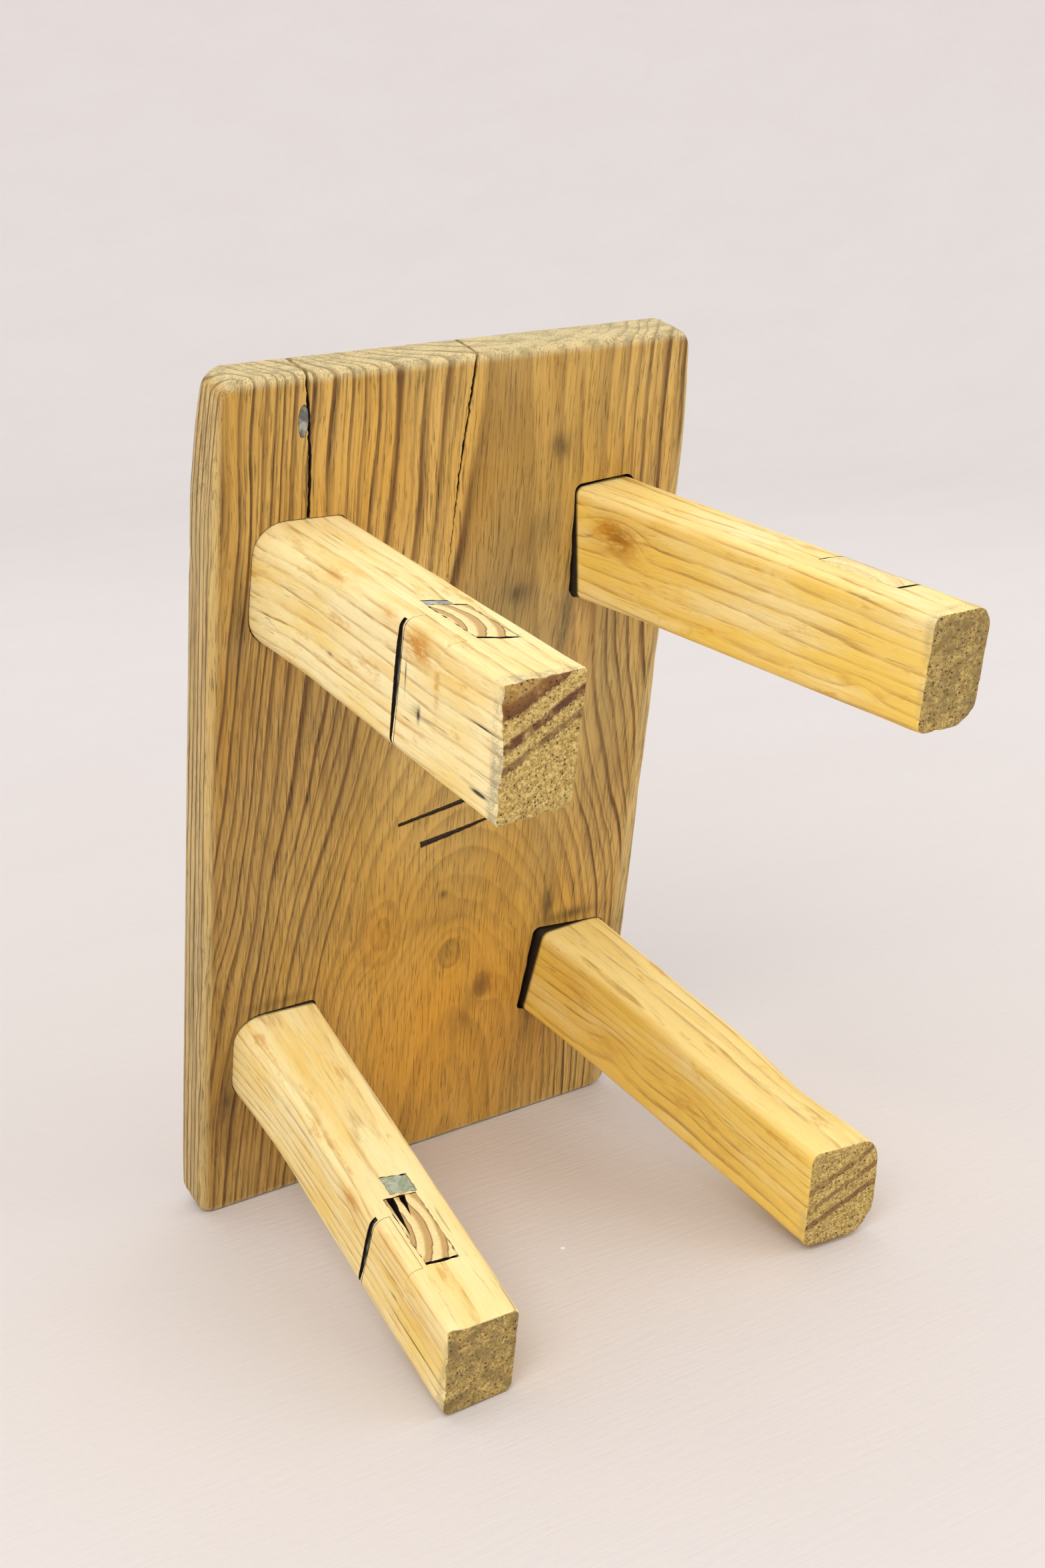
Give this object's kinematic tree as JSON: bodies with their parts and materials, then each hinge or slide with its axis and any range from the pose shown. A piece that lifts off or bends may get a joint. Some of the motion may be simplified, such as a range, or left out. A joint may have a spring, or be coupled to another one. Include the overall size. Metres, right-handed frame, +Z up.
{
  "type": "low stool",
  "caption": "Low stool of reclaimed timber, a rectangular plank seat with splayed rectangular legs let through it and wedged, standing on one end of its seat.",
  "frame": {"origin": "on the floor, under the centre of the bounding box of the stool as it stands on the lower end of its seat and its lower left foot", "axes": "+Z up, +X to the right when facing the underside, the legs point towards -Y; the seat leans about 14 degrees forwards over the legs"},
  "size_m": [0.214, 0.2634, 0.3522],
  "materials": {
    "seat_timber": "bare sanded wood, lightly waxed",
    "leg_timber": "bare sanded wood, lightly waxed",
    "old_timber": "bare sanded wood, lightly waxed",
    "wedge_timber": "bare sanded wood, lightly waxed",
    "grey_filler": "dry knifing filler, matt",
    "dark_filler": "dark packing filler, matt"
  },
  "bodies": {
    "root": {"filler_lower_left": "grey_filler", "filler_upper_left": "grey_filler", "leg_lower_left": "leg_timber", "leg_lower_right": "leg_timber", "leg_upper_left": "leg_timber", "leg_upper_right": "leg_timber", "old_lap_lower_left": "old_timber", "old_lap_upper_left": "old_timber", "old_tenon_lower_left": "old_timber", "old_tenon_upper_left": "old_timber", "old_tenon_upper_right": "old_timber", "seat_board": "seat_timber", "seat_filler": "grey_filler", "slot_fill_lower_left": "dark_filler", "slot_fill_upper_left": "dark_filler", "wedge_lower_left": "wedge_timber", "wedge_lower_right": "wedge_timber", "wedge_upper_left": "wedge_timber", "wedge_upper_right": "wedge_timber"}
  },
  "joints": []
}
